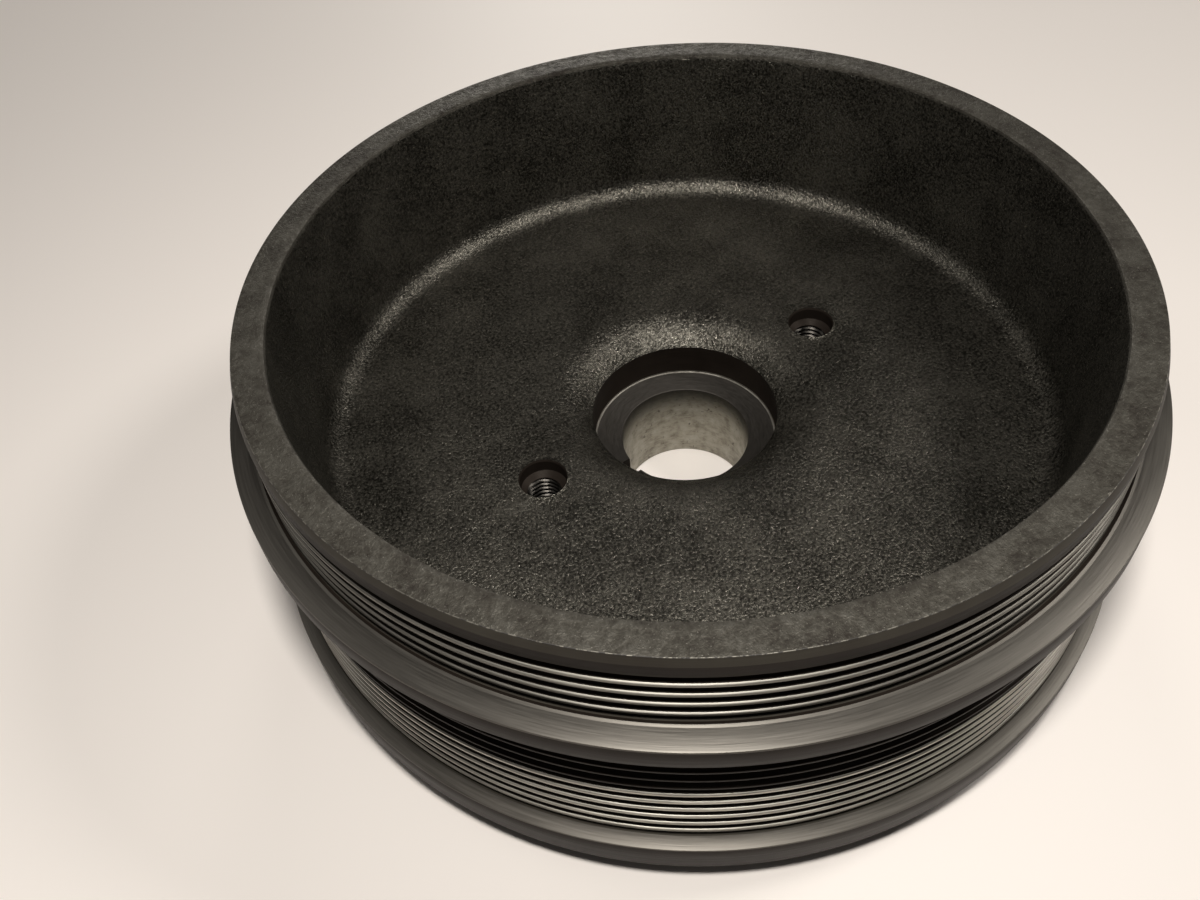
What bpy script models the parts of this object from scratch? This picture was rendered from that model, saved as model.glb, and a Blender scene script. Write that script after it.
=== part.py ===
"""Crankshaft pulley with a built-in torsional damper.

Three solids share the Z axis. The hub is a casting with a deep dish in front, a keyed bore and a belt
band of five V grooves. The inertia ring carries a second belt band of ten V grooves. The rubber ring
between them bonds the inertia ring to the hub and lets it twist a little.

Z = 0 is the hub's rear face and +Z points out of the dish. The X axis runs through the two tapped
puller holes, and the keyway is on -X. Sizes are in millimetres, and MM turns them into metres.
"""
import math

import bmesh
import bpy

MM = 0.001
SEGMENTS = 60
HOLE_SEGMENTS = 24
GAP = 0.3

# Belt grooves: the K section of ribbed belts.
GROOVE_PITCH = 3.56
CREST_WIDTH = 0.75
ROOT_WIDTH = 0.6
FLANK_ANGLE = math.radians(20)
GROOVE_DEPTH = (GROOVE_PITCH - CREST_WIDTH - ROOT_WIDTH) / 2 / math.tan(FLANK_ANGLE)

# Front rim and belt band, on the hub.
RIM_TOP = 87.0
RIM_RADIUS = 108.9
RIM_INNER_RADIUS = 100.9
RIM_INNER_DROP = 0.9
RIM_CONE_BOTTOM = 84.8
FRONT_CREST_RADIUS = 109.6
FRONT_GROOVES = 5
FRONT_FIRST_GROOVE = 79.94

# Flange between the two belt bands, on the hub.
FLANGE_RADIUS = 116.1
FLANGE_TOP = 65.2
FLANGE_BOTTOM = 58.8
EDGE = 0.5

# Drum that the rubber grips, and the rear edge of the casting.
DRUM_RADIUS = 101.4
DRUM_BOTTOM = 8.6
POCKET_OUTER_RADIUS = 92.0

# Dish and web.
DISH_FLOOR_RADIUS = 96.6
DISH_FILLET = 5.0
WEB_FRONT = 41.8
WEB_REAR = 26.0
POCKET_FILLET = 4.0

# Hub boss: the web dips to a recess with the bolt seat, then the bore.
DIP_RADIUS = 37.5
RECESS_RADIUS = 25.55
RECESS_TOP = 36.4
SEAT_HEIGHT = 26.4
BORE_RADIUS = 17.8
BORE_CHAMFER = 0.6
BOSS_RADIUS = 30.0

# Keyway for a 5 mm key, open at both ends of the bore.
KEYWAY_WIDTH = 5.3
KEYWAY_DEPTH = 2.3

# Tapped puller holes, M10, with a plain entry.
PULLER_CIRCLE_RADIUS = 46.7
PULLER_HOLE_RADIUS = 4.25
PULLER_ENTRY_RADIUS = 6.15
PULLER_ENTRY_DEPTH = 4.2

# Rubber ring.
RUBBER_THICKNESS = 2.4
RUBBER_BOTTOM = 9.6
RUBBER_TOP = 54.6
RUBBER_END_DIP = 0.6

# Inertia ring with the rear belt band.
RING_TOP = 56.5
RING_BOTTOM = 7.1
REAR_CREST_RADIUS = 112.35
REAR_GROOVES = 10
REAR_FIRST_GROOVE = 50.35
REAR_FLANGE_TOP = 17.8
REAR_FLANGE_RADIUS = 115.8
REAR_FLANGE_STEP = 13.6
REAR_FLANGE_LOWER_RADIUS = 115.3


def clear_scene():
    """Remove the objects of a new file."""
    for item in list(bpy.data.objects):
        bpy.data.objects.remove(item, do_unlink=True)


def material(name, color, roughness, metallic):
    """A Principled material with a plain colour."""
    made = bpy.data.materials.new(name)
    made.use_nodes = True
    shader = made.node_tree.nodes["Principled BSDF"]
    shader.inputs["Base Color"].default_value = (*color, 1.0)
    shader.inputs["Roughness"].default_value = roughness
    shader.inputs["Metallic"].default_value = metallic
    made.diffuse_color = (*color, 1.0)
    return made


def arc(center, radius, start, end, steps):
    """Points of an arc in the (radius, height) plane, with angles in degrees from the outward direction."""
    points = []
    for i in range(steps + 1):
        angle = math.radians(start + (end - start) * i / steps)
        points.append((center[0] + radius * math.cos(angle), center[1] + radius * math.sin(angle)))
    return points


def groove(crest_radius, height):
    """Upper crest edge, both root corners and lower crest edge of a V groove centred at height."""
    half_mouth = (GROOVE_PITCH - CREST_WIDTH) / 2
    half_root = ROOT_WIDTH / 2
    root_radius = crest_radius - GROOVE_DEPTH
    return [
        (crest_radius, height + half_mouth),
        (root_radius, height + half_root),
        (root_radius, height - half_root),
        (crest_radius, height - half_mouth),
    ]


def belt_band(crest_radius, first, count):
    """Grooves from top to bottom; the flange face closes the last one, so its lower edge is left out."""
    points = []
    for i in range(count):
        points += groove(crest_radius, first - i * GROOVE_PITCH)
    return points[:-1]


def front_outline():
    """Rim, front belt band and middle flange, from the dish edge down the outer side."""
    return [
        (RIM_INNER_RADIUS, RIM_TOP - RIM_INNER_DROP),
        (RIM_INNER_RADIUS + RIM_INNER_DROP, RIM_TOP),
        (RIM_RADIUS, RIM_TOP),
        (FRONT_CREST_RADIUS, RIM_CONE_BOTTOM),
        *belt_band(FRONT_CREST_RADIUS, FRONT_FIRST_GROOVE, FRONT_GROOVES),
        (FRONT_CREST_RADIUS, FLANGE_TOP),
        (FLANGE_RADIUS - EDGE, FLANGE_TOP),
        (FLANGE_RADIUS, FLANGE_TOP - EDGE),
        (FLANGE_RADIUS, FLANGE_BOTTOM + EDGE),
        (FLANGE_RADIUS - EDGE, FLANGE_BOTTOM),
    ]


def rear_outline():
    """Drum, rear pocket and hub boss, from under the flange to the bore's rear edge."""
    pocket_corner = (POCKET_OUTER_RADIUS - POCKET_FILLET, WEB_REAR - POCKET_FILLET)
    boss_corner = (BOSS_RADIUS + POCKET_FILLET, WEB_REAR - POCKET_FILLET)
    return [
        (DRUM_RADIUS, FLANGE_BOTTOM),
        (DRUM_RADIUS, DRUM_BOTTOM + EDGE),
        (DRUM_RADIUS - EDGE, DRUM_BOTTOM),
        (POCKET_OUTER_RADIUS + EDGE, DRUM_BOTTOM),
        (POCKET_OUTER_RADIUS, DRUM_BOTTOM + EDGE),
        *arc(pocket_corner, POCKET_FILLET, 0, 90, 3),
        *arc(boss_corner, POCKET_FILLET, 90, 180, 3),
        (BOSS_RADIUS, EDGE),
        (BOSS_RADIUS - EDGE, 0),
        (BORE_RADIUS + BORE_CHAMFER, 0),
        (BORE_RADIUS, BORE_CHAMFER),
    ]


def dish_outline():
    """Bore, bolt seat, recess, dip, web and dish wall, from the bore's rear edge up to the rim."""
    run = DIP_RADIUS - RECESS_RADIUS
    drop = WEB_FRONT - RECESS_TOP
    dip_arc_radius = (run ** 2 + drop ** 2) / (2 * drop)
    dip_start = 90 + math.degrees(math.asin(run / dip_arc_radius))
    dip_center = (DIP_RADIUS, WEB_FRONT - dip_arc_radius)
    fillet_center = (DISH_FLOOR_RADIUS - DISH_FILLET, WEB_FRONT + DISH_FILLET)
    return [
        (BORE_RADIUS, SEAT_HEIGHT - BORE_CHAMFER),
        (BORE_RADIUS + BORE_CHAMFER, SEAT_HEIGHT),
        (RECESS_RADIUS, SEAT_HEIGHT),
        *arc(dip_center, dip_arc_radius, dip_start, 90, 4),
        *arc(fillet_center, DISH_FILLET, -90, 0, 4),
    ]


def ring_outline():
    """Inertia ring, from its front inner edge down the outer side and round the rear face."""
    inner = DRUM_RADIUS + RUBBER_THICKNESS + 2 * GAP
    return [
        (inner + EDGE, RING_TOP),
        (REAR_CREST_RADIUS - EDGE, RING_TOP),
        (REAR_CREST_RADIUS, RING_TOP - EDGE),
        *belt_band(REAR_CREST_RADIUS, REAR_FIRST_GROOVE, REAR_GROOVES),
        (REAR_CREST_RADIUS, REAR_FLANGE_TOP),
        (REAR_FLANGE_RADIUS - EDGE, REAR_FLANGE_TOP),
        (REAR_FLANGE_RADIUS, REAR_FLANGE_TOP - EDGE),
        (REAR_FLANGE_RADIUS, REAR_FLANGE_STEP),
        (REAR_FLANGE_LOWER_RADIUS, REAR_FLANGE_STEP - EDGE),
        (REAR_FLANGE_LOWER_RADIUS, RING_BOTTOM + EDGE),
        (REAR_FLANGE_LOWER_RADIUS - EDGE, RING_BOTTOM),
        (inner + EDGE, RING_BOTTOM),
        (inner, RING_BOTTOM + EDGE),
        (inner, RING_TOP - EDGE),
    ]


def rubber_outline():
    """Rubber ring with slightly hollow ends."""
    inner = DRUM_RADIUS + GAP
    outer = inner + RUBBER_THICKNESS
    middle = (inner + outer) / 2
    return [
        (outer, RUBBER_TOP),
        (outer, RUBBER_BOTTOM),
        (middle, RUBBER_BOTTOM + RUBBER_END_DIP),
        (inner, RUBBER_BOTTOM),
        (inner, RUBBER_TOP),
        (middle, RUBBER_TOP - RUBBER_END_DIP),
    ]


def add_object(name, bm):
    """Link a finished mesh to the scene under the given name."""
    bmesh.ops.recalc_face_normals(bm, faces=bm.faces)
    mesh = bpy.data.meshes.new(name)
    bm.to_mesh(mesh)
    bm.free()
    made = bpy.data.objects.new(name, mesh)
    bpy.context.scene.collection.objects.link(made)
    return made


def turned(name, outline, finish):
    """Spin a closed outline about Z into a solid with its origin on the axis."""
    bm = bmesh.new()
    verts = [bm.verts.new((radius * MM, 0, height * MM)) for radius, height in outline]
    edges = [bm.edges.new((verts[i - 1], verts[i])) for i in range(len(verts))]
    bmesh.ops.spin(bm, geom=verts + edges, cent=(0, 0, 0), axis=(0, 0, 1),
                   angle=math.tau, steps=SEGMENTS, use_merge=True)
    made = add_object(name, bm)
    made.data.materials.append(finish)
    made.data.shade_smooth()
    made.data.set_sharp_from_angle(angle=math.radians(25))
    return made


def as_cutter(cutter):
    """Keep a cutter out of the model."""
    cutter.hide_render = True
    cutter.display_type = "WIRE"
    return cutter


def keyway_cutter():
    """A bar from inside the bore to the keyway's floor, on -X, longer than the bore."""
    length = SEAT_HEIGHT + 2
    reach = BORE_RADIUS + KEYWAY_DEPTH
    start = BORE_RADIUS - KEYWAY_DEPTH
    bm = bmesh.new()
    bmesh.ops.create_cube(bm, size=1)
    scale = ((reach - start) * MM, KEYWAY_WIDTH * MM, length * MM)
    bmesh.ops.scale(bm, vec=scale, verts=bm.verts)
    middle = (-(reach + start) / 2 * MM, 0, SEAT_HEIGHT / 2 * MM)
    bmesh.ops.translate(bm, vec=middle, verts=bm.verts)
    return as_cutter(add_object("keyway_cutter", bm))


def cylinder(bm, radius, bottom, top, x):
    """A closed cylinder parallel to Z."""
    made = bmesh.ops.create_cone(bm, cap_ends=True, segments=HOLE_SEGMENTS, radius1=radius * MM,
                                 radius2=radius * MM, depth=(top - bottom) * MM)
    bmesh.ops.translate(bm, vec=(x * MM, 0, (top + bottom) / 2 * MM), verts=made["verts"])


def puller_cutter(name, radius, bottom):
    """Two equal cylinders on the puller holes' axes, up to just above the web."""
    bm = bmesh.new()
    for side in (-1, 1):
        cylinder(bm, radius, bottom, WEB_FRONT + 1, side * PULLER_CIRCLE_RADIUS)
    return as_cutter(add_object(name, bm))


def cut(target, cutter):
    """Subtract a cutter with a Boolean modifier."""
    modifier = target.modifiers.new(cutter.name, "BOOLEAN")
    modifier.operation = "DIFFERENCE"
    modifier.solver = "EXACT"
    modifier.object = cutter


def make_hub(finish):
    """Hub casting with its keyway and puller holes."""
    hub = turned("hub_casting", front_outline() + rear_outline() + dish_outline(), finish)
    cut(hub, keyway_cutter())
    cut(hub, puller_cutter("puller_hole_cutter", PULLER_HOLE_RADIUS, WEB_REAR - 1))
    cut(hub, puller_cutter("puller_entry_cutter", PULLER_ENTRY_RADIUS, WEB_FRONT - PULLER_ENTRY_DEPTH))


def main():
    clear_scene()
    make_hub(material("hub_iron", (0.055, 0.05, 0.045), 0.55, 0.6))
    turned("damper_rubber", rubber_outline(), material("damper_rubber", (0.02, 0.02, 0.02), 0.85, 0.0))
    turned("inertia_ring", ring_outline(), material("ring_iron", (0.09, 0.085, 0.08), 0.45, 0.8))


main()
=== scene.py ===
"""Looks of the crankshaft damper pulley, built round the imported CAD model.

The three CAD solids are replaced by finer turned meshes with the same outlines: rounded edges, cast
grain, cut threads and a keyway. Outlines are in millimetres, as (radius, height), and turn about Z.
"""
import math

import bpy
import numpy as np
from mathutils import Matrix, Vector, noise


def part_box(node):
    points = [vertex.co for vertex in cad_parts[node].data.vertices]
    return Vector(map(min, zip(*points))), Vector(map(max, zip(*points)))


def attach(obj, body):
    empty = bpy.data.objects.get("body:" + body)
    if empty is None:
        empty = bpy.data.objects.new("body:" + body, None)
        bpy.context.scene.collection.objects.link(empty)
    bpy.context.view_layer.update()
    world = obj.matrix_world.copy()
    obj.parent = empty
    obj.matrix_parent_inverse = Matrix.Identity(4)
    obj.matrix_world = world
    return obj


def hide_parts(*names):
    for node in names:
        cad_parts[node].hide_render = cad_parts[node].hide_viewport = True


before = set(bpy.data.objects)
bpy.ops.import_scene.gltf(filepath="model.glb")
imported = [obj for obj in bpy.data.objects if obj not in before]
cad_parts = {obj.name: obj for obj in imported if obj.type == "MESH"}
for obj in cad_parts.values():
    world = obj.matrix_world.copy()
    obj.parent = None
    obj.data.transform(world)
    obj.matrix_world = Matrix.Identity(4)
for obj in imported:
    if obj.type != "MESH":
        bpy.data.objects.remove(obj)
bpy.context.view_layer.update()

MM = 0.001
SEGMENTS = 400
HOLE_SEGMENTS = 48

HUB_LOW, HUB_HIGH = [[v / MM for v in corner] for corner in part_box("hub_casting")]
RING_LOW, RING_HIGH = [[v / MM for v in corner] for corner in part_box("inertia_ring")]
RUBBER_LOW, RUBBER_HIGH = [[v / MM for v in corner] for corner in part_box("damper_rubber")]

# Belt grooves, K section.
GROOVE_PITCH = 3.56
CREST_WIDTH = 0.75
ROOT_WIDTH = 0.6
FLANK_ANGLE = math.radians(20)
GROOVE_DEPTH = (GROOVE_PITCH - CREST_WIDTH - ROOT_WIDTH) / 2 / math.tan(FLANK_ANGLE)
GROOVE_ROUNDING = 0.25

# Hub casting.
RIM_TOP = HUB_HIGH[2]
RIM_RADIUS = 108.9
RIM_INNER_RADIUS = 100.95
RIM_CONE_BOTTOM = RIM_TOP - 2.2
FRONT_CREST_RADIUS = 109.6
FRONT_GROOVES = 5
FRONT_FIRST_GROOVE = RIM_TOP - 7.06
FRONT_BRIGHT_DEPTH = 0.42
FLANGE_RADIUS = HUB_HIGH[0]
FLANGE_TOP = RIM_TOP - 21.8
FLANGE_LIP_RADIUS = 110.3
FLANGE_LIP_WIDTH = 0.65
FLANGE_LIP_HEIGHT = 0.2
FLANGE_BOTTOM = RIM_TOP - 28.2
DRUM_RADIUS = 101.4
DRUM_BOTTOM = 8.6
POCKET_OUTER_RADIUS = 92.0
DISH_FLOOR_RADIUS = 96.6
DISH_FILLET = 6.0
WEB_FRONT = 41.8
WEB_REAR = 26.0
POCKET_FILLET = 4.0
DIP_CORNER_RADIUS = 30.3
DIP_ROUNDING = 15.9
RECESS_RADIUS = 25.55
RECESS_TOP = 36.4
SEAT_HEIGHT = 26.4
BORE_RADIUS = 17.8
BOSS_RADIUS = 30.0
KEYWAY_WIDTH = 5.3
KEYWAY_DEPTH = 2.3
PULLER_CIRCLE_RADIUS = 46.7
PULLER_ENTRY_RADIUS = 6.15
PULLER_ENTRY_DEPTH = 4.2

# M10 x 1.5 thread.
THREAD_MINOR_RADIUS = 4.2
THREAD_MAJOR_RADIUS = 5.0
THREAD_PITCH = 1.5
THREAD_STEPS = 10
# Shares of half a pitch: the flat on the minor radius and the flank beside it.
THREAD_FLAT = 0.12
THREAD_FLANK = 0.66
THREAD_OVERRUN = 1.5
THREAD_START = 0.2

# Inertia ring.
RING_TOP = RING_HIGH[2]
RING_BOTTOM = RING_LOW[2]
REAR_CREST_RADIUS = 112.35
REAR_GROOVES = 10
REAR_FIRST_GROOVE = RING_TOP - 6.15
REAR_BRIGHT_DEPTH = 0.4
# The top rear crests take the dark coated finish: painted shade, standing for the middle flange's shadow on
# them.
REAR_SHADE_PAINTED_CRESTS = 3
REAR_FLANGE_TOP = RING_BOTTOM + 10.7
REAR_FLANGE_STEP = RING_BOTTOM + 6.5
REAR_FLANGE_RADIUS = RING_HIGH[0]
REAR_FLANGE_LOWER_RADIUS = REAR_FLANGE_RADIUS - 0.5

# Mesh detail: the longest stretch of a cast outline, how deep the cast skin is pushed in, and the scale and
# height of the noises on it.
CAST_STEP = 1.15
SKIN_DEPTH = 0.16
SKIN_COARSE_SCALE = 0.16
SKIN_FINE_SCALE = 0.55
SKIN_NOISE = 0.05
SHARP_ANGLE = math.radians(30)

# Finishes, in the order of a turned mesh's material slots.
FINISHES = [
    "cast", "rim", "cone", "coated", "valley", "crest", "painted_light_steel", "bare", "seat", "bore", "thread", "worn",
]


# ---------------------------------------------------------------- outlines


def corner(r, z, rounding, finish, edge=None):
    """One corner of an outline. Finish is that of the line that leaves it, and edge that of its arc."""
    return r, z, rounding, finish, edge or finish


def rounded(corners, steps=3):
    """Replace each corner by an arc. Returns the closed outline's points and the finish after each."""
    points = []
    finishes = []
    for i, (r, z, rounding, finish, edge) in enumerate(corners):
        here = Vector((r, z))
        before = (Vector(corners[i - 1][:2]) - here).normalized()
        after = (Vector(corners[(i + 1) % len(corners)][:2]) - here).normalized()
        turn = math.pi - before.angle(after)
        if rounding == 0 or turn < 0.01:
            points.append(here)
            finishes.append(finish)
            continue
        reach = rounding * math.tan(turn / 2)
        count = max(1, round(steps * (1 if rounding < 2 else 3)))
        center = here + (before + after).normalized() * (rounding / math.cos(turn / 2))
        start = here + before * reach - center
        end = here + after * reach - center
        for k in range(count + 1):
            share = k / count
            weight_a = math.sin((1 - share) * turn) / math.sin(turn)
            weight_b = math.sin(share * turn) / math.sin(turn)
            points.append(center + start * weight_a + end * weight_b)
            finishes.append(finish if k == count else edge)
    return points, finishes


def split_long(points, finishes, step, wanted):
    """Divide the lines of some finishes into stretches no longer than step."""
    new_points = []
    new_finishes = []
    for i, here in enumerate(points):
        there = points[(i + 1) % len(points)]
        length = (there - here).length
        count = math.ceil(length / step) if finishes[i] in wanted else 1
        for k in range(count):
            new_points.append(here.lerp(there, k / count))
            new_finishes.append(finishes[i])
    return new_points, new_finishes


def groove_corners(crest_radius, height, bright_depth, above, below):
    """A V groove, top to bottom, between the crests above and below it, whose finishes are given. The
    flanks keep the crests' finish down to the given depth and take the dark valley finish below it: partly
    the real coat left in the groove, partly painted shade deep in it."""
    half_mouth = (GROOVE_PITCH - CREST_WIDTH) / 2
    half_bright = half_mouth - bright_depth * math.tan(FLANK_ANGLE)
    half_root = ROOT_WIDTH / 2
    root_radius = crest_radius - GROOVE_DEPTH
    return [
        corner(crest_radius, height + half_mouth, GROOVE_ROUNDING, above),
        corner(crest_radius - bright_depth, height + half_bright, 0, "valley"),
        corner(root_radius, height + half_root, GROOVE_ROUNDING, "valley"),
        corner(root_radius, height - half_root, GROOVE_ROUNDING, "valley"),
        corner(crest_radius - bright_depth, height - half_bright, 0, below),
        corner(crest_radius, height - half_mouth, GROOVE_ROUNDING, below),
    ]


def band_corners(crest_radius, first, count, bright_depth, crest, coated=0):
    """All grooves of a belt band. The first few crests may take the dark coated finish: painted
    shade for the shadow of the flange above them. The last groove's lower flank is a single coated line,
    which ends at the flange."""
    # The first crests' dark coated finish is painted shade.
    finishes = ["coated"] * (coated + 1) + [crest] * count
    corners = []
    for i in range(count):
        height = first - i * GROOVE_PITCH
        corners += groove_corners(crest_radius, height, bright_depth, finishes[i], finishes[i + 1])
    last_root = corners[-3]
    return [*corners[:-3], corner(last_root[0], last_root[1], GROOVE_ROUNDING, "cone", "valley")]


def hub_corners():
    """Closed outline of the hub casting, from the dish edge down the outer side and back up inside."""
    lip_end = FLANGE_LIP_RADIUS + FLANGE_LIP_WIDTH
    rim = [
        corner(RIM_INNER_RADIUS, RIM_TOP, 1.1, "rim"),
        corner(RIM_RADIUS, RIM_TOP, 0.2, "cone", "worn"),
        corner(FRONT_CREST_RADIUS, RIM_CONE_BOTTOM, 0.1, "coated"),
        *band_corners(FRONT_CREST_RADIUS, FRONT_FIRST_GROOVE, FRONT_GROOVES, FRONT_BRIGHT_DEPTH, "crest"),
    ]
    flange = [
        corner(FRONT_CREST_RADIUS, FLANGE_TOP, 0.1, "coated"),
        corner(FLANGE_LIP_RADIUS, FLANGE_TOP + FLANGE_LIP_HEIGHT, 0.1, "bare"),
        corner(lip_end, FLANGE_TOP, 0.1, "bare"),
        corner(FLANGE_RADIUS, FLANGE_TOP, 0.5, "coated", "bare"),
        corner(FLANGE_RADIUS, FLANGE_BOTTOM, 0.5, "coated"),
    ]
    rear = [
        corner(DRUM_RADIUS, FLANGE_BOTTOM, 0.3, "coated"),
        corner(DRUM_RADIUS, DRUM_BOTTOM, 0.5, "coated"),
        corner(POCKET_OUTER_RADIUS, DRUM_BOTTOM, 1.0, "cast"),
        corner(POCKET_OUTER_RADIUS - 0.8, WEB_REAR, POCKET_FILLET, "cast"),
        corner(BOSS_RADIUS + 0.8, WEB_REAR, POCKET_FILLET, "cast"),
        corner(BOSS_RADIUS, 0, 0.5, "bare"),
        corner(BORE_RADIUS, 0, 0.5, "bore"),
    ]
    dish = [
        corner(BORE_RADIUS, SEAT_HEIGHT, 0.4, "seat"),
        # The recess's bottom corner takes the lighter steel copy: a painted highlight line.
        corner(RECESS_RADIUS, SEAT_HEIGHT, 0.5, "coated", "painted_light_steel"),
        corner(RECESS_RADIUS, RECESS_TOP, 0.5, "cast"),
        corner(DIP_CORNER_RADIUS, WEB_FRONT, DIP_ROUNDING, "cast"),
        corner(DISH_FLOOR_RADIUS, WEB_FRONT, DISH_FILLET, "cast"),
    ]
    return rim + flange + rear + dish


def ring_corners():
    """Closed outline of the inertia ring."""
    inner = RUBBER_HIGH[0] + 0.05
    return [
        corner(inner, RING_TOP, 0.4, "coated"),
        corner(REAR_CREST_RADIUS, RING_TOP, 0.3, "coated"),
        # Its crests take the lighter steel copy: painted light.
        *band_corners(REAR_CREST_RADIUS, REAR_FIRST_GROOVE, REAR_GROOVES, REAR_BRIGHT_DEPTH, "painted_light_steel",
                      REAR_SHADE_PAINTED_CRESTS),
        corner(REAR_CREST_RADIUS + 0.1, REAR_FLANGE_TOP, 0.3, "bare"),
        corner(REAR_FLANGE_RADIUS, REAR_FLANGE_TOP, 0.4, "coated", "bare"),
        corner(REAR_FLANGE_RADIUS, REAR_FLANGE_STEP, 0.2, "coated"),
        corner(REAR_FLANGE_LOWER_RADIUS, REAR_FLANGE_STEP - 0.5, 0.1, "coated"),
        corner(REAR_FLANGE_LOWER_RADIUS, RING_BOTTOM, 0.6, "coated"),
        corner(inner, RING_BOTTOM, 0.4, "coated"),
    ]


def rubber_corners():
    """Closed outline of the rubber ring, with hollow ends, filling the gap between drum and ring."""
    inner = DRUM_RADIUS
    outer = RUBBER_HIGH[0]
    top, bottom = RUBBER_HIGH[2], RUBBER_LOW[2]
    middle = (inner + outer) / 2
    return [
        corner(outer, top, 0.1, "rubber"),
        corner(outer, bottom, 0.1, "rubber"),
        corner(middle, bottom + 0.9, 1.2, "rubber"),
        corner(inner, bottom, 0.1, "rubber"),
        corner(inner, top, 0.1, "rubber"),
        corner(middle, top - 0.9, 1.2, "rubber"),
    ]


# ---------------------------------------------------------------- meshes


def lathe(name, points, finishes, slots, segments=SEGMENTS):
    """Turn a closed outline about Z. Each line's faces take its finish from slots."""
    count = len(points)
    angles = np.arange(segments) * math.tau / segments
    radii = np.array([p[0] for p in points]) * MM
    heights = np.array([p[1] for p in points]) * MM
    x = np.outer(np.cos(angles), radii)
    y = np.outer(np.sin(angles), radii)
    z = np.tile(heights, (segments, 1))
    verts = np.stack([x, y, z], -1).reshape(-1, 3)
    turn = np.arange(segments)[:, None]
    row = np.arange(count)[None, :]
    next_turn = (turn + 1) % segments
    next_row = (row + 1) % count
    here, there = turn * count, next_turn * count
    corners = [here + row, here + next_row, there + next_row, there + row]
    faces = np.stack(np.broadcast_arrays(*corners), -1).reshape(-1, 4)
    mesh = bpy.data.meshes.new(name)
    mesh.from_pydata(verts.tolist(), [], faces.tolist())
    index = np.array([slots.index(f) for f in finishes], dtype=np.int32)
    mesh.polygons.foreach_set("material_index", np.tile(index, segments))
    mesh.update()
    made = bpy.data.objects.new(name, mesh)
    bpy.context.scene.collection.objects.link(made)
    return made


def outward(made):
    """Point a closed mesh's faces outwards."""
    places = np.empty(len(made.data.vertices) * 3)
    made.data.vertices.foreach_get("co", places)
    made.data.calc_loop_triangles()
    tris = np.empty(len(made.data.loop_triangles) * 3, dtype=np.int32)
    made.data.loop_triangles.foreach_get("vertices", tris)
    a, b, c = places.reshape(-1, 3)[tris.reshape(-1, 3)].transpose(1, 0, 2)
    if np.einsum("ij,ij->i", a, np.cross(b, c)).sum() < 0:
        made.data.flip_normals()
    return made


def round_cutter(name, x, rows, finish):
    """Cutter on a puller hole's axis. Each row is a height and one radius for each of the hole's segments."""
    verts = []
    for height, radii in rows:
        for s, radius in enumerate(radii):
            angle = math.tau * s / HOLE_SEGMENTS
            verts.append(((x + radius * math.cos(angle)) * MM, radius * math.sin(angle) * MM, height * MM))
    last = (len(rows) - 1) * HOLE_SEGMENTS
    faces = [tuple(range(HOLE_SEGMENTS))[::-1], tuple(range(last, last + HOLE_SEGMENTS))]
    for k in range(len(rows) - 1):
        for s in range(HOLE_SEGMENTS):
            a, b = k * HOLE_SEGMENTS + s, k * HOLE_SEGMENTS + (s + 1) % HOLE_SEGMENTS
            faces.append((a, b, b + HOLE_SEGMENTS, a + HOLE_SEGMENTS))
    return cutter(name, verts, faces, finish)


def thread_rod(name, x, bottom, top):
    """A right-hand threaded rod on a puller hole's axis, as a cutter for its internal thread."""
    count = math.ceil((top - bottom) / THREAD_PITCH * THREAD_STEPS)
    rows = []
    for k in range(count + 1):
        height = bottom + (top - bottom) * k / count
        radii = []
        for s in range(HOLE_SEGMENTS):
            share = (height / THREAD_PITCH - s / HOLE_SEGMENTS) % 1
            rise = min(1, max(0, (abs(share - 0.5) * 2 - THREAD_FLAT) / THREAD_FLANK))
            radii.append(THREAD_MINOR_RADIUS + (THREAD_MAJOR_RADIUS - THREAD_MINOR_RADIUS) * rise)
        rows.append((height, radii))
    return round_cutter(name, x, rows, "thread")


def entry_plug(name, x):
    """Cutter for a puller hole's plain entry: a cylinder with a flared mouth and a drill-point shoulder."""
    shoulder = WEB_FRONT - PULLER_ENTRY_DEPTH
    outline = [
        (shoulder - 0.75, THREAD_MAJOR_RADIUS * 0.9),
        (shoulder + 0.35, PULLER_ENTRY_RADIUS),
        (WEB_FRONT - 0.5, PULLER_ENTRY_RADIUS),
        (WEB_FRONT + 0.1, PULLER_ENTRY_RADIUS + 0.35),
        (WEB_FRONT + 1.5, PULLER_ENTRY_RADIUS + 0.6),
    ]
    return round_cutter(name, x, [(height, [radius] * HOLE_SEGMENTS) for height, radius in outline], "coated")


def keyway_bar(name):
    """Cutter for the keyway, on -X."""
    low = Vector((-(BORE_RADIUS + KEYWAY_DEPTH), -KEYWAY_WIDTH / 2, -1)) * MM
    high = Vector((-(BORE_RADIUS - KEYWAY_DEPTH), KEYWAY_WIDTH / 2, SEAT_HEIGHT + 1)) * MM
    verts = [(x, y, z) for x in (low.x, high.x) for y in (low.y, high.y) for z in (low.z, high.z)]
    faces = [(0, 1, 3, 2), (4, 6, 7, 5), (0, 4, 5, 1), (2, 3, 7, 6), (0, 2, 6, 4), (1, 5, 7, 3)]
    return cutter(name, verts, faces, "coated")


def cutter(name, verts, faces, finish):
    """A closed mesh used only to cut another one."""
    mesh = bpy.data.meshes.new(name)
    mesh.from_pydata(verts, [], faces)
    mesh.polygons.foreach_set("material_index", [FINISHES.index(finish)] * len(faces))
    mesh.update()
    made = bpy.data.objects.new(name, mesh)
    bpy.context.scene.collection.objects.link(made)
    return outward(made)


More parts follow.
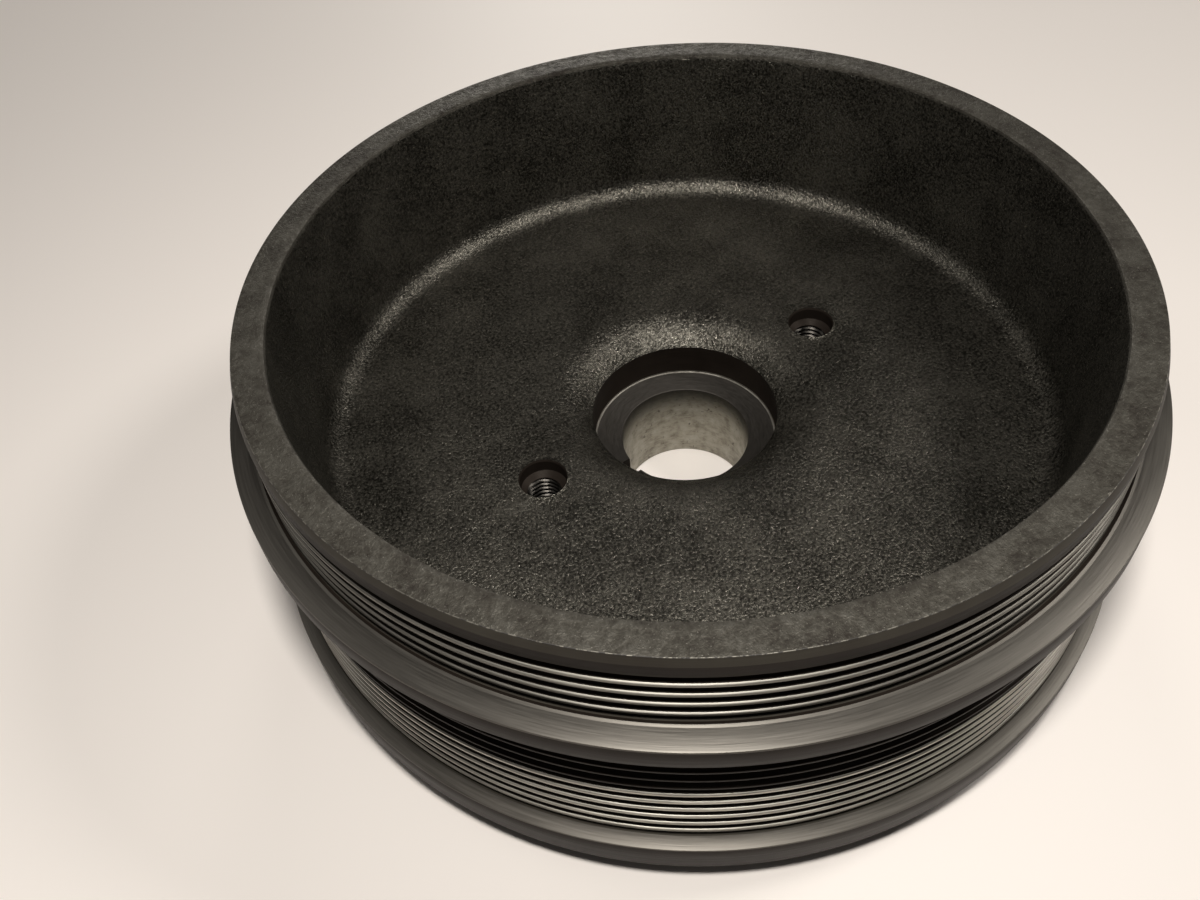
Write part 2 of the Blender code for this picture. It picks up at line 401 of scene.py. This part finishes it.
def cut_away(target, cutters):
    """Subtract closed meshes from target for good, and remove them."""
    for tool in cutters:
        for slot in target.material_slots:
            tool.data.materials.append(slot.material)
        step = target.modifiers.new(tool.name, "BOOLEAN")
        step.operation = "DIFFERENCE"
        step.solver = "MANIFOLD"
        step.object = tool
    graph = bpy.context.evaluated_depsgraph_get()
    result = bpy.data.meshes.new_from_object(target.evaluated_get(graph))
    target.modifiers.clear()
    old = target.data
    target.data = result
    bpy.data.meshes.remove(old)
    for tool in cutters:
        bpy.data.meshes.remove(tool.data)


def smooth(made):
    """Smooth shading, with sharp edges where two faces meet at more than the sharp angle."""
    made.data.shade_smooth()
    made.data.set_sharp_from_angle(angle=SHARP_ANGLE)


def roughen(made):
    """Cast skin: push the vertices of cast faces in by the skin's depth, varied by a coarse and a fine
    noise, and never outwards."""
    mesh = made.data
    cast = {FINISHES.index("cast"), FINISHES.index("rim")}
    kinds = np.empty(len(mesh.polygons), dtype=np.int32)
    mesh.polygons.foreach_get("material_index", kinds)
    touched = np.zeros(len(mesh.vertices), dtype=bool)
    fixed = np.zeros(len(mesh.vertices), dtype=bool)
    for face in mesh.polygons:
        marks = touched if kinds[face.index] in cast else fixed
        marks[list(face.vertices)] = True
    normals = [v.normal.copy() for v in mesh.vertices]
    for i in np.flatnonzero(touched & ~fixed):
        vert = mesh.vertices[i]
        at = vert.co / MM
        coarse = noise.noise(at * SKIN_COARSE_SCALE) * SKIN_NOISE
        fine = noise.noise(at * SKIN_FINE_SCALE + Vector((9, 4, 7))) * SKIN_NOISE
        vert.co -= normals[i] * (SKIN_DEPTH + coarse + fine) * MM
    mesh.update()


# ---------------------------------------------------------------- materials


class Nodes:
    """Small helper that adds and links shader nodes of one material."""

    def __init__(self, name):
        self.material = bpy.data.materials.new(name)
        self.material.use_nodes = True
        self.tree = self.material.node_tree
        self.shader = self.tree.nodes["Principled BSDF"]

    def add(self, kind, **values):
        node = self.tree.nodes.new("ShaderNode" + kind)
        for key, value in values.items():
            setattr(node, key, value)
        return node

    def plug(self, value, socket):
        if isinstance(value, bpy.types.NodeSocket):
            self.tree.links.new(value, socket)
        else:
            socket.default_value = value

    def math(self, operation, a, b=0.0, c=0.0):
        node = self.add("Math", operation=operation)
        for value, socket in zip((a, b, c), node.inputs):
            self.plug(value, socket)
        return node.outputs[0]

    def place(self):
        """Position on the object in millimetres."""
        coords = self.add("TexCoord")
        node = self.add("VectorMath", operation="SCALE")
        self.plug(coords.outputs["Object"], node.inputs[0])
        node.inputs["Scale"].default_value = 1 / MM
        return node.outputs[0]

    def noise(self, place, scale, detail=3.0, roughness=0.55):
        node = self.add("TexNoise")
        self.plug(place, node.inputs["Vector"])
        node.inputs["Scale"].default_value = scale
        node.inputs["Detail"].default_value = detail
        node.inputs["Roughness"].default_value = roughness
        return node.outputs["Fac"]

    def ramp(self, value, stops):
        """A colour ramp from (position, colour) stops."""
        node = self.add("ValToRGB")
        self.plug(value, node.inputs["Fac"])
        elements = node.color_ramp.elements
        while len(elements) < len(stops):
            elements.new(0.5)
        for element, (position, color) in zip(elements, stops):
            element.position = position
            element.color = (*color, 1.0)
        return node.outputs["Color"]

    def levels(self, value, low, high, to_low=0.0, to_high=1.0):
        """Map low..high smoothly to to_low..to_high, and clamp beyond."""
        node = self.add("MapRange")
        node.interpolation_type = "SMOOTHSTEP"
        for socket, number in zip(node.inputs, (value, low, high, to_low, to_high)):
            self.plug(number, socket)
        return node.outputs[0]

    def mix(self, share, a, b):
        node = self.add("Mix", data_type="RGBA")
        self.plug(share, node.inputs["Factor"])
        self.plug(a if isinstance(a, bpy.types.NodeSocket) else (*a, 1.0), node.inputs["A"])
        self.plug(b if isinstance(b, bpy.types.NodeSocket) else (*b, 1.0), node.inputs["B"])
        return node.outputs["Result"]

    def bump(self, height, distance, under=None):
        """Normal of a relief that is distance millimetres high, on top of the one under it."""
        node = self.add("Bump")
        self.plug(height, node.inputs["Height"])
        node.inputs["Distance"].default_value = distance * MM
        node.inputs["Strength"].default_value = 1.0
        if under is not None:
            self.plug(under, node.inputs["Normal"])
        return node.outputs["Normal"]

    def turning(self, along=9.0, across=2.6):
        """Marks left by a lathe tool: noise that is stretched round the axis. Along is in marks per
        radian and across in marks per millimetre. Returns a 0..1 value."""
        parts = self.add("SeparateXYZ")
        self.plug(self.place(), parts.inputs[0])
        x, y, z = parts.outputs
        square = self.math("ADD", self.math("MULTIPLY", x, x), self.math("MULTIPLY", y, y))
        radius = self.math("SQRT", square)
        joined = self.add("CombineXYZ")
        self.plug(self.math("DIVIDE", self.math("MULTIPLY", x, along), radius), joined.inputs[0])
        self.plug(self.math("DIVIDE", self.math("MULTIPLY", y, along), radius), joined.inputs[1])
        self.plug(self.math("MULTIPLY", radius, across), joined.inputs[2])
        node = self.add("TexNoise", noise_dimensions="4D")
        self.plug(joined.outputs[0], node.inputs["Vector"])
        self.plug(self.math("MULTIPLY", z, across), node.inputs["W"])
        node.inputs["Scale"].default_value = 1.0
        node.inputs["Detail"].default_value = 3.0
        node.inputs["Roughness"].default_value = 0.6
        return node.outputs["Fac"]

    def brushed(self, amount):
        """Stretch highlights across the lathe marks."""
        tangent = self.add("Tangent", direction_type="RADIAL", axis="Z")
        self.tree.links.new(tangent.outputs[0], self.shader.inputs["Tangent"])
        self.shader.inputs["Anisotropic"].default_value = amount
        self.shader.inputs["Anisotropic Rotation"].default_value = 0.25

    def finish(self, color, roughness, metallic, normal=None, specular=0.5, tint=(1.0, 1.0, 1.0)):
        self.plug(color, self.shader.inputs["Base Color"])
        self.plug(roughness, self.shader.inputs["Roughness"])
        self.plug(metallic, self.shader.inputs["Metallic"])
        self.shader.inputs["Specular IOR Level"].default_value = specular
        self.shader.inputs["Specular Tint"].default_value = (*tint, 1.0)
        if normal is not None:
            self.plug(normal, self.shader.inputs["Normal"])
        return self.material


def cast_iron(name, dark, light):
    """Sand-cast iron with a thin dark coat: millimetre grain, finer glints from its bumps, painted glints as
    light specks in its colour, and cloudy patches.
    """
    n = Nodes(name)
    place = n.place()
    clouds = n.noise(place, 0.06, 3.0)
    grain = n.noise(place, 1.35, 2.0, 0.6)
    sand = n.noise(place, 2.6, 2.0, 0.7)
    share = n.math("ADD", n.math("MULTIPLY", clouds, 0.3), n.math("MULTIPLY", grain, 0.7))
    color = n.ramp(share, [(0.4, dark), (0.63, light)])
    # Light specks mixed into the colour: painted glints of the sand grains.
    color = n.mix(n.levels(sand, 0.6, 0.7), color, (0.3, 0.28, 0.245))
    roughness = n.levels(sand, 0.35, 0.7, 0.34, 0.24)
    normal = n.bump(grain, 0.26)
    normal = n.bump(sand, 0.14, under=normal)
    return n.finish(color, roughness, 0.85, normal)


def rim_iron(name):
    """The casting's edge: mottled brownish grey, with fine pits and lighter specks."""
    n = Nodes(name)
    place = n.place()
    patches = n.noise(place, 0.12, 4.0, 0.6)
    pits = n.noise(place, 0.8, 3.0, 0.6)
    specks = n.noise(place, 2.2, 2.0, 0.7)
    share = n.math("ADD", n.math("MULTIPLY", patches, 0.5), n.math("MULTIPLY", pits, 0.5))
    stops = [(0.36, (0.03, 0.025, 0.02)), (0.5, (0.06, 0.055, 0.045)), (0.66, (0.1, 0.094, 0.08))]
    color = n.ramp(share, stops)
    color = n.mix(n.levels(specks, 0.63, 0.75), color, (0.24, 0.228, 0.2))
    roughness = n.levels(pits, 0.3, 0.7, 0.68, 0.52)
    normal = n.bump(pits, 0.34)
    normal = n.bump(specks, 0.14, under=normal)
    return n.finish(color, roughness, 0.7, normal)


def coated_iron(name, dark, light, shine):
    """Turned iron under a dark brown coat, with faint lathe lines."""
    n = Nodes(name)
    lines = n.turning(3.0, 3.5)
    clouds = n.noise(n.place(), 0.08, 4.0)
    share = n.math("ADD", n.math("MULTIPLY", lines, 0.4), n.math("MULTIPLY", clouds, 0.6))
    color = n.ramp(share, [(0.35, dark), (0.65, light)])
    roughness = n.levels(lines, 0.2, 0.8, 0.42, 0.55)
    return n.finish(color, roughness, 0.0, n.bump(lines, 0.02), shine, (1.0, 0.88, 0.78))


def turned_steel(name, dark, light, smoothest, roughest, brush):
    """Turned metal with short lathe marks. Brush stretches its highlights across them."""
    n = Nodes(name)
    lines = n.turning()
    color = n.ramp(lines, [(0.3, dark), (0.7, light)])
    roughness = n.levels(lines, 0.2, 0.8, smoothest, roughest)
    n.brushed(brush)
    return n.finish(color, roughness, 1.0, n.bump(lines, 0.03))


def bore_steel(name):
    """The bore's honed wall: pale and mottled, with small dark stain spots, and painted shade that darkens it
    towards its mouth.
    """
    n = Nodes(name)
    place = n.place()
    lines = n.turning()
    blotches = n.noise(place, 0.3, 5.0, 0.62)
    share = n.math("ADD", n.math("MULTIPLY", lines, 0.3), n.math("MULTIPLY", blotches, 0.7))
    stops = [(0.36, (0.17, 0.155, 0.125)), (0.5, (0.3, 0.287, 0.24)), (0.62, (0.36, 0.35, 0.305))]
    color = n.ramp(share, stops)
    spots = n.levels(n.noise(place, 0.55, 3.0, 0.7), 0.62, 0.7)
    color = n.mix(n.math("MULTIPLY", spots, 0.75), color, (0.06, 0.052, 0.042))
    # Painted shade: darker towards the bore's mouth, with a ragged edge from the blotches.
    parts = n.add("SeparateXYZ")
    n.plug(place, parts.inputs[0])
    shade_height = n.math("MULTIPLY_ADD", blotches, 8.0, parts.outputs["Z"])
    mouth = n.levels(shade_height, SEAT_HEIGHT - 4.0, SEAT_HEIGHT + 4.0, 0.0, 0.9)
    color = n.mix(mouth, color, (0.04, 0.037, 0.031))
    return n.finish(color, 0.5, 0.9, n.bump(lines, 0.02))


def worn_edge(name):
    """An edge whose coat has chipped off in places."""
    n = Nodes(name)
    chips = n.levels(n.noise(n.place(), 0.7, 3.0, 0.7), 0.46, 0.6)
    color = n.mix(chips, (0.02, 0.017, 0.014), (0.2, 0.19, 0.165))
    return n.finish(color, 0.5, chips)


def rubber(name):
    """Matt black rubber with mould grain."""
    n = Nodes(name)
    grain = n.noise(n.place(), 0.8, 4.0)
    color = n.ramp(grain, [(0.3, (0.012, 0.012, 0.012)), (0.7, (0.028, 0.027, 0.026))])
    return n.finish(color, n.levels(grain, 0.3, 0.7, 0.7, 0.9), 0.0, n.bump(grain, 0.05))


def finish_materials():
    """One material for each finish, in the order of FINISHES."""
    made = {
        "cast": cast_iron("dish_cast_iron", (0.018, 0.0165, 0.013), (0.147, 0.138, 0.117)),
        "rim": rim_iron("rim_cast_iron"),
        "cone": coated_iron("cone_coated_iron", (0.032, 0.028, 0.023), (0.046, 0.042, 0.034), 0.12),
        "coated": coated_iron("coated_iron", (0.010, 0.0075, 0.006), (0.017, 0.013, 0.0105), 0.1),
        # Dark valley finish deep in the grooves: partly real coat, partly painted shade.
        "valley": coated_iron("valley_coat_and_shade_iron", (0.016, 0.013, 0.011), (0.026, 0.021, 0.018), 0.08),
        "crest": turned_steel("crest_steel", (0.16, 0.152, 0.136), (0.27, 0.257, 0.23), 0.42, 0.5, 0.0),
        # A lighter copy of the crest steel: painted light that makes up for the rear band's weaker lighting,
        # and a painted highlight on the recess's bottom corner.
        "painted_light_steel": turned_steel("painted_light_steel_copy", (0.27, 0.255, 0.227), (0.5, 0.475, 0.426), 0.4, 0.48,
                                   0.0),
        "bare": turned_steel("face_steel", (0.08, 0.074, 0.066), (0.124, 0.116, 0.104), 0.4, 0.48, 0.2),
        "seat": turned_steel("seat_steel", (0.075, 0.069, 0.061), (0.096, 0.088, 0.08), 0.45, 0.55, 0.0),
        "bore": bore_steel("bore_steel"),
        "thread": turned_steel("thread_steel", (0.025, 0.023, 0.021), (0.045, 0.042, 0.038), 0.32, 0.38,
                               0.0),
        "worn": worn_edge("worn_edge"),
    }
    return [made[name] for name in FINISHES]


# ---------------------------------------------------------------- the three pieces


def make_hub(materials):
    """The hub casting, with its keyway and puller holes."""
    points, finishes = rounded(hub_corners(), 2)
    points, finishes = split_long(points, finishes, CAST_STEP, ("cast", "rim"))
    hub = outward(lathe("hub_casting_fine", points, finishes, FINISHES))
    for item in materials:
        hub.data.materials.append(item)
    cutters = [keyway_bar("keyway_cut")]
    thread_top = WEB_FRONT - PULLER_ENTRY_DEPTH + THREAD_START
    for x in (-PULLER_CIRCLE_RADIUS, PULLER_CIRCLE_RADIUS):
        cutters.append(entry_plug("entry_cut", x))
        cutters.append(thread_rod("thread_cut", x, WEB_REAR - THREAD_OVERRUN, thread_top))
    cut_away(hub, cutters)
    roughen(hub)
    smooth(hub)
    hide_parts("hub_casting")
    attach(hub, "hub")


def make_ring(materials):
    """The inertia ring."""
    points, finishes = rounded(ring_corners(), 2)
    ring = outward(lathe("inertia_ring_fine", points, finishes, FINISHES))
    for item in materials:
        ring.data.materials.append(item)
    smooth(ring)
    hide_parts("inertia_ring")
    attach(ring, "ring")


def make_rubber():
    """The rubber ring, which stays on the hub."""
    points, finishes = rounded(rubber_corners())
    piece = outward(lathe("damper_rubber_fine", points, finishes, ["rubber"], SEGMENTS // 2))
    piece.data.materials.append(rubber("damper_rubber_fine"))
    smooth(piece)
    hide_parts("damper_rubber")
    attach(piece, "hub")


# ---------------------------------------------------------------- camera, floor and light

VIEW_TURN = math.radians(-38.2)
# The camera stands CAMERA_BACK millimetres before the axis. Its angles are in radians.
CAMERA_BACK = 206.28
CAMERA_HEIGHT = RIM_TOP + 163.5
CAMERA_PITCH = 0.837
CAMERA_YAW = -0.119
CAMERA_ROLL = -0.103
LENS = 32.034
SENSOR = 36

FLOOR_HALF_SIZE = 3.0
FLOOR_COLOR = (0.95, 0.895, 0.855, 1.0)

LIGHT_COLOR = (1.0, 0.96, 0.9)
# Name, place in metres as seen by the camera, diameter in metres and power in watts.
LIGHTS = [
    ("front_light", (0, -0.18, 0.45), 0.065, 1.75),
    ("right_light", (0.8, 0.2, 0.95), 0.3, 4.8),
    ("left_light", (-0.85, 0.25, 1.0), 0.5, 1.2),
    ("back_light", (-0.1, 1.2, 0.33), 0.4, 4.0),
]
SKY_COLOR = (1.0, 0.95, 0.9, 1.0)
SKY_STRENGTH = 0.055


def view_direction(x, y, z):
    """A direction given as seen by the camera (x right, y away, z up), in the frame."""
    return Matrix.Rotation(VIEW_TURN, 3, "Z") @ Vector((x, y, z))


def make_camera():
    forward = Vector((math.sin(CAMERA_YAW) * math.cos(CAMERA_PITCH),
                      math.cos(CAMERA_YAW) * math.cos(CAMERA_PITCH), -math.sin(CAMERA_PITCH)))
    right = Vector((math.cos(CAMERA_YAW), -math.sin(CAMERA_YAW), 0))
    up = right.cross(forward)
    tilted_right = right * math.cos(CAMERA_ROLL) + up * math.sin(CAMERA_ROLL)
    tilted_up = up * math.cos(CAMERA_ROLL) - right * math.sin(CAMERA_ROLL)
    axes = Matrix((tilted_right, tilted_up, -forward)).transposed()
    turned = Matrix.Rotation(VIEW_TURN, 3, "Z") @ axes
    data = bpy.data.cameras.new("camera")
    data.sensor_width = SENSOR
    data.lens = LENS
    data.clip_start = 0.01
    camera = bpy.data.objects.new("camera", data)
    place = view_direction(0, -CAMERA_BACK * MM, CAMERA_HEIGHT * MM)
    camera.matrix_world = Matrix.Translation(place) @ turned.to_4x4()
    bpy.context.scene.collection.objects.link(camera)
    bpy.context.scene.camera = camera


def make_floor():
    size = FLOOR_HALF_SIZE
    verts = [(-size, -size, 0), (size, -size, 0), (size, size, 0), (-size, size, 0)]
    mesh = bpy.data.meshes.new("floor")
    mesh.from_pydata(verts, [], [(0, 1, 2, 3)])
    n = Nodes("pale_floor")
    n.finish(FLOOR_COLOR, 0.6, 0.0)
    mesh.materials.append(n.material)
    floor = bpy.data.objects.new("floor", mesh)
    bpy.context.scene.collection.objects.link(floor)


def area_light(name, place, size, power):
    """A disk light at a place given as seen by the camera, aimed at the dish."""
    data = bpy.data.lights.new(name, "AREA")
    data.shape = "DISK"
    data.size = size
    data.energy = power
    data.color = LIGHT_COLOR
    light = bpy.data.objects.new(name, data)
    light.visible_camera = False
    light.location = view_direction(*place)
    aim = Vector((0, 0, WEB_FRONT * MM)) - light.location
    light.rotation_euler = aim.to_track_quat("-Z", "Y").to_euler()
    bpy.context.scene.collection.objects.link(light)


def make_light():
    for light in LIGHTS:
        area_light(*light)
    world = bpy.data.worlds.new("soft_room")
    world.use_nodes = True
    sky = world.node_tree.nodes["Background"]
    sky.inputs["Color"].default_value = SKY_COLOR
    sky.inputs["Strength"].default_value = SKY_STRENGTH
    bpy.context.scene.world = world
    bpy.context.scene.view_settings.view_transform = "Standard"


def main():
    materials = finish_materials()
    make_hub(materials)
    make_ring(materials)
    make_rubber()
    make_camera()
    make_floor()
    make_light()


main()
